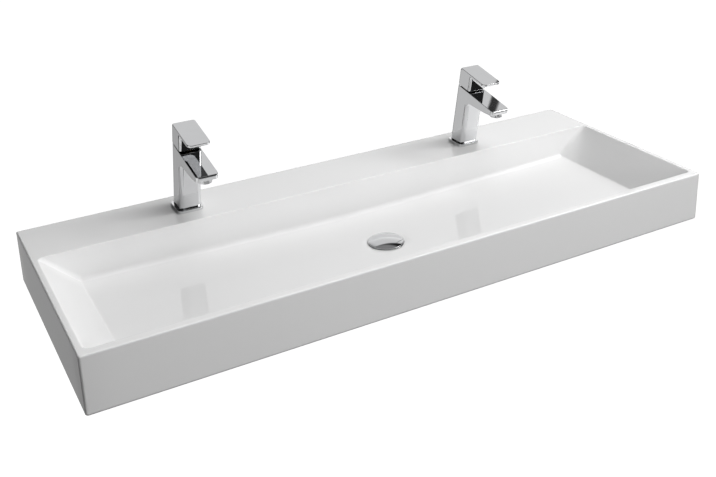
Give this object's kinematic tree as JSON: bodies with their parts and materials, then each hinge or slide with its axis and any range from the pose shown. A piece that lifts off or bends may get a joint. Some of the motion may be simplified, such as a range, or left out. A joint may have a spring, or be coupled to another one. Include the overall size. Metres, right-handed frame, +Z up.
{
  "type": "wall-hung trough basin",
  "caption": "Wide shallow wall-hung trough basin with sloping ends, leaning single-lever mixer taps that mix and lift, and a push-button waste with a domed cap.",
  "frame": {"origin": "in the wall plane, midway between the two middle wall fixings, 39 mm below the rim", "axes": "+X along the wall to the right of someone who stands at the basin, +Y into the wall, +Z up"},
  "size_m": [1.2, 0.455, 0.3136],
  "materials": {
    "glaze": "gloss white glaze",
    "chrome": "bright chrome plate",
    "chrome_plastic": "chrome-plated plastic",
    "brass": "turned brass",
    "steel": "stainless steel",
    "zinc_steel": "zinc-plated steel",
    "rubber": "black rubber",
    "plastic": "grey acetal",
    "dark_plastic": "black acetal",
    "disc": "lapped alumina",
    "plug_red": "red plastic"
  },
  "bodies": {
    "root": {"basin_ledge": "glaze", "basin_back": "glaze", "basin_front": "glaze", "basin_sides": "glaze", "basin_slopes": "glaze", "basin_floor": "glaze", "waste_body": "chrome", "waste_flange_seal": "rubber", "waste_lower_seal": "rubber", "waste_backnut": "brass", "waste_mechanism": "plastic", "waste_screw": "steel", "waste_spring": "steel", "left_tap_body": "chrome", "left_base_ring": "chrome", "left_base_gasket": "rubber", "left_cartridge_seal": "rubber", "left_cartridge_housing": "plastic", "left_fixed_disc": "disc", "left_cartridge_nut": "brass", "left_aerator_ring": "chrome", "left_aerator_insert": "dark_plastic", "left_aerator_washer": "rubber", "left_fixing_stud": "zinc_steel", "left_rubber_horseshoe": "rubber", "left_steel_horseshoe": "zinc_steel", "left_stud_nut": "brass", "right_tap_body": "chrome", "right_base_ring": "chrome", "right_base_gasket": "rubber", "right_cartridge_seal": "rubber", "right_cartridge_housing": "plastic", "right_fixed_disc": "disc", "right_cartridge_nut": "brass", "right_aerator_ring": "chrome", "right_aerator_insert": "dark_plastic", "right_aerator_washer": "rubber", "right_fixing_stud": "zinc_steel", "right_rubber_horseshoe": "rubber", "right_steel_horseshoe": "zinc_steel", "right_stud_nut": "brass"},
    "waste_plug": {"waste_cap": "chrome", "waste_cap_seal": "rubber", "waste_plunger": "plastic"},
    "left_mixer_turn": {"left_swivel_carrier": "plastic", "left_hinge_pin": "steel"},
    "left_lever_arm": {"left_lever": "chrome", "left_spindle": "brass", "left_lever_screw": "steel", "left_lever_plug": "plug_red"},
    "left_disc_slide": {"left_moving_disc": "disc", "left_disc_driver": "plastic"},
    "right_mixer_turn": {"right_swivel_carrier": "plastic", "right_hinge_pin": "steel"},
    "right_lever_arm": {"right_lever": "chrome", "right_spindle": "brass", "right_lever_screw": "steel", "right_lever_plug": "plug_red"},
    "right_disc_slide": {"right_moving_disc": "disc", "right_disc_driver": "plastic"}
  },
  "joints": [
    {"name": "waste_push", "type": "slide", "parent": "root", "child": "waste_plug", "axis": [0, 0, 1], "range_m": [0, 0.009], "deforming": ["waste_spring"]},
    {"name": "left_mix", "type": "hinge", "parent": "root", "child": "left_mixer_turn", "pos_m": [-0.308, -0.09073, 0.16948], "axis": [0, -0.2079, 0.9781], "range_deg": [-45, 45]},
    {"name": "left_lift", "type": "hinge", "parent": "left_mixer_turn", "child": "left_lever_arm", "pos_m": [-0.308, -0.08087, 0.18078], "axis": [-1, 0, 0], "range_deg": [0, 20]},
    {"name": "left_disc", "type": "slide", "parent": "left_mixer_turn", "child": "left_disc_slide", "axis": [0, -0.9781, -0.2079], "range_m": [0, 0.0053]},
    {"name": "right_mix", "type": "hinge", "parent": "root", "child": "right_mixer_turn", "pos_m": [0.308, -0.09073, 0.16948], "axis": [0, -0.2079, 0.9781], "range_deg": [-45, 45]},
    {"name": "right_lift", "type": "hinge", "parent": "right_mixer_turn", "child": "right_lever_arm", "pos_m": [0.308, -0.08087, 0.18078], "axis": [-1, 0, 0], "range_deg": [0, 20]},
    {"name": "right_disc", "type": "slide", "parent": "right_mixer_turn", "child": "right_disc_slide", "axis": [0, -0.9781, -0.2079], "range_m": [0, 0.0053]}
  ],
  "couplings": [
    {"joint": "left_disc", "follows": "left_lift", "m_per_rad": 0.015074},
    {"joint": "right_disc", "follows": "right_lift", "m_per_rad": 0.015074}
  ]
}
